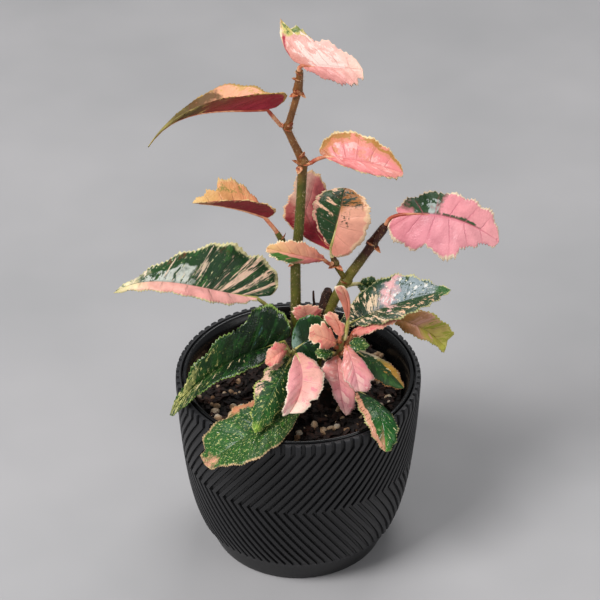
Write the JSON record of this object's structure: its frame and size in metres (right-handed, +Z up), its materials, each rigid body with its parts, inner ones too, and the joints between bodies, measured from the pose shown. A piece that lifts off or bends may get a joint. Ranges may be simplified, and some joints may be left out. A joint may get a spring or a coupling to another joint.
{
  "type": "potted begonia",
  "caption": "Potted cane begonia with pink, cream and green angel-wing leaves, in bark mix, in a nursery pot inside a matt black cachepot with herringbone ribs.",
  "frame": {"origin": "centre of the cachepot's flat base, where it stands on a surface", "axes": "+Z up along the plant's height, -Y towards the front of the plant, +X to the viewer's right"},
  "size_m": [0.2073, 0.1528, 0.3231],
  "materials": {
    "cachepot_matt_black": "matt, fine herringbone ribs",
    "nursery_gloss_black": "smooth gloss",
    "bark_mix": "rough loose bark mix with pumice",
    "cane_olive": "satin, finely haired",
    "cane_red_brown": "satin, finely haired",
    "leaf_pink": "satin leaf",
    "leaf_peach": "satin leaf",
    "leaf_green": "glossy leaf",
    "leaf_speckled": "glossy speckled leaf"
  },
  "bodies": {
    "root": {"cachepot": "cachepot_matt_black", "nursery_pot": "nursery_gloss_black", "soil": "bark_mix", "cane_main": "cane_olive", "cane_right": "cane_red_brown", "shoot_front": "cane_olive", "shoot_side": "cane_olive", "leaf_top": "leaf_pink", "leaf_upper_right": "leaf_pink", "leaf_right": "leaf_pink", "leaf_curled": "leaf_pink", "leaf_small": "leaf_pink", "leaf_front": "leaf_pink", "leaf_spoon": "leaf_pink", "leaf_fork_short": "leaf_pink", "leaf_fork_long": "leaf_pink", "leaf_upper_left": "leaf_peach", "leaf_left": "leaf_peach", "leaf_back": "leaf_peach", "leaf_crossing": "leaf_peach", "leaf_drooping": "leaf_peach", "leaf_flag_back": "leaf_peach", "leaf_narrow": "leaf_peach", "leaf_flag": "leaf_peach", "leaf_dark": "leaf_green", "leaf_round": "leaf_green", "leaf_hanging": "leaf_green", "leaf_edge_right": "leaf_green", "leaf_rim_right": "leaf_green", "leaf_low_left": "leaf_speckled", "leaf_fan": "leaf_speckled", "leaf_behind": "leaf_speckled", "leaf_spilling": "leaf_speckled", "leaf_low_right": "leaf_speckled", "leaf_tuft": "leaf_speckled", "leaf_speck": "leaf_speckled"}
  },
  "joints": []
}
